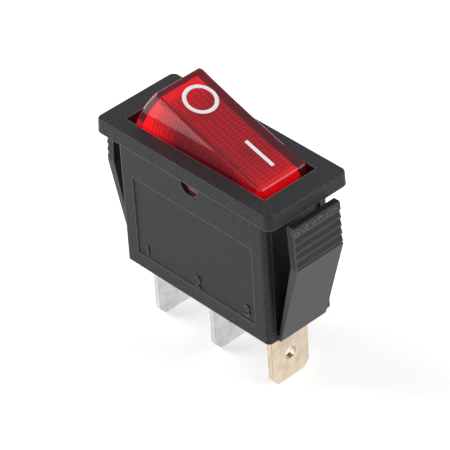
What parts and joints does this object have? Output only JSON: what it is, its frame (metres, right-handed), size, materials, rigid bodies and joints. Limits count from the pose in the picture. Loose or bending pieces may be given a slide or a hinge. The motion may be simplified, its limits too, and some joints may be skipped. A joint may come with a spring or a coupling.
{
  "type": "panel rocker switch",
  "caption": "Snap-in panel rocker switch with a lit clear red rocker in a black bezel, ribbed snap wings, a rocking contact lever inside and flat push-on tabs below.",
  "frame": {"origin": "centre of the panel cut-out, in the plane of the panel's front face that the bezel's underside sits on", "axes": "+X along the switch towards the rocker's I end, +Y across it towards the back, +Z out of the panel towards the user"},
  "size_m": [0.0342, 0.0136, 0.0374],
  "materials": {
    "black_nylon": "fine-grained matte moulding",
    "clear_red": "clear polished red, ribbed inside",
    "drawn_brass": "drawn",
    "spring_wire": "drawn wire",
    "copper_strip": "rolled strip",
    "contact_silver": "satin silver",
    "tinned_brass": "satin tin plate",
    "pale_brass": "rolled satin",
    "lamp_glass": "clear",
    "lead_wire": "tinned wire",
    "resistor_coat": "dipped coat",
    "white_ink": "pad-printed marks"
  },
  "bodies": {
    "base": {"housing": "black_nylon", "terminal_1": "tinned_brass", "terminal_2": "tinned_brass", "terminal_3": "pale_brass", "fixed_contact": "contact_silver", "lamp_spring": "spring_wire"},
    "rocker": {"rocker": "clear_red", "lamp_glass": "lamp_glass", "lamp_lead_front": "lead_wire", "lamp_lead_back": "lead_wire", "resistor_body": "resistor_coat", "resistor_lead_near": "lead_wire", "resistor_lead_far": "lead_wire", "plunger_spring": "spring_wire"},
    "plunger": {"plunger": "drawn_brass"},
    "lever": {"contact_lever": "copper_strip", "moving_contact": "contact_silver"}
  },
  "joints": [
    {"name": "rocker_tilt", "type": "hinge", "parent": "base", "child": "rocker", "pos_m": [0, 0, -0.0015], "axis": [0, -1, 0], "range_deg": [0, 35], "deforming": ["lamp_spring"]},
    {"name": "lever_rock", "type": "hinge", "parent": "base", "child": "lever", "pos_m": [0, 0, -0.0127], "axis": [0, 1, 0], "range_deg": [0, 17.5]},
    {"name": "plunger_slide", "type": "slide", "parent": "rocker", "child": "plunger", "axis": [0.3007, 0, 0.9537], "range_m": [0, 0.0006], "stiffness_N_per_m": 200, "springref_m": -0.004, "deforming": ["plunger_spring"]}
  ],
  "couplings": [
    {"joint": "lever_rock", "follows": "rocker_tilt", "ratio": 0.5}
  ]
}
